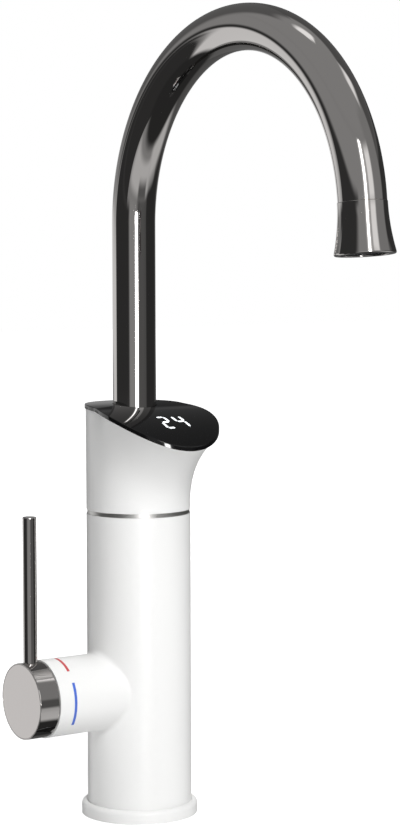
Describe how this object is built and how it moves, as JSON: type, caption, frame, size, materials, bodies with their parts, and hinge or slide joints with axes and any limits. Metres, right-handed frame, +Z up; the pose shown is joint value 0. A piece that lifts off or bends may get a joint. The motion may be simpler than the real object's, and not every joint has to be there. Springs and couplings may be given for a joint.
{
  "type": "instant water heater tap",
  "caption": "Single hole kitchen tap with a built in electric heater: white column, swivel gooseneck spout, side lever on a branch, and a sloping head with a black display.",
  "frame": {"origin": "centre of the column on the plane of the worktop, where the underside of the foot rests", "axes": "+Z up along the column, the spout reaches towards -Y, the handle branch points to -X"},
  "size_m": [0.1092, 0.2457, 0.4958],
  "materials": {
    "white_shell": "smooth white ABS with a soft gloss",
    "red_mark": "red inlay",
    "blue_mark": "blue inlay",
    "dark_chrome": "dark polished black nickel plating",
    "handle_face": "satin nickel face",
    "seam_chrome": "bright polished chrome",
    "black_gloss": "piano black, mirror smooth",
    "white_digits": "lit white strokes",
    "black_rubber": "moulded matte rubber",
    "zinc_steel": "zinc plated steel",
    "brass": "machined brass",
    "stainless": "drawn stainless steel",
    "inner_plastic": "glass filled nylon",
    "ceramic": "lapped alumina",
    "board_green": "glass fibre board with parts on it",
    "cable_sheath": "soft grey sheath"
  },
  "bodies": {
    "column": {"body_shell": "white_shell", "base_flange": "white_shell", "head_shell": "white_shell", "hot_mark": "red_mark", "cold_mark": "blue_mark", "seam_ring": "seam_chrome", "display_plate": "black_gloss", "display_digits": "white_digits", "base_gasket": "black_rubber", "rubber_washer": "black_rubber", "shank_o_ring": "black_rubber", "cable_grommet": "black_rubber", "cartridge_seals": "black_rubber", "heater_gasket": "black_rubber", "dust_seal": "black_rubber", "clamp_washer": "zinc_steel", "base_screws": "zinc_steel", "valve_screws": "zinc_steel", "bush_screws": "zinc_steel", "head_screws": "zinc_steel", "heater_screws": "zinc_steel", "inlet_shank": "brass", "lock_nut": "brass", "valve_body": "brass", "cartridge_nut": "brass", "inlet_strainer": "stainless", "piston_spring": "stainless", "heater_chamber": "stainless", "heating_element": "stainless", "bypass_pipe": "stainless", "spout_clip": "stainless", "temperature_sensor": "stainless", "cartridge_body": "inner_plastic", "handle_bushing": "inner_plastic", "flow_switch_housing": "inner_plastic", "heater_base": "inner_plastic", "spout_bush": "inner_plastic", "board_case": "inner_plastic", "display_module": "inner_plastic", "reed_switch": "inner_plastic", "thermal_cutout": "inner_plastic", "fixed_ceramic_disc": "ceramic", "power_board": "board_green", "display_board": "board_green", "display_cable": "cable_sheath"},
    "spout": {"spout_tube": "dark_chrome", "spout_tail": "brass", "spout_o_rings": "black_rubber", "nozzle_adapter": "brass", "spout_nozzle": "dark_chrome", "aerator_gasket": "black_rubber", "aerator_housing": "inner_plastic", "aerator_insert": "inner_plastic"},
    "handle": {"handle_collar": "dark_chrome", "handle_cap": "handle_face", "handle_rod": "dark_chrome", "handle_screw": "zinc_steel", "valve_stem": "brass", "moving_ceramic_disc": "ceramic"},
    "piston": {"flow_piston": "inner_plastic"}
  },
  "joints": [
    {"name": "spout_swivel", "type": "hinge", "parent": "column", "child": "spout", "pos_m": [0, 0.0035, 0.2], "axis": [0, 0, 1], "continuous": true},
    {"name": "handle_turn", "type": "hinge", "parent": "column", "child": "handle", "pos_m": [-0.0703, 0, 0.0709], "axis": [1, 0, 0], "range_deg": [0, 125]},
    {"name": "flow_piston_slide", "type": "slide", "parent": "column", "child": "piston", "axis": [0, 0, 1], "range_m": [0, 0.0045], "stiffness_N_per_m": 60, "springref_m": -0.002, "deforming": ["piston_spring"]}
  ]
}
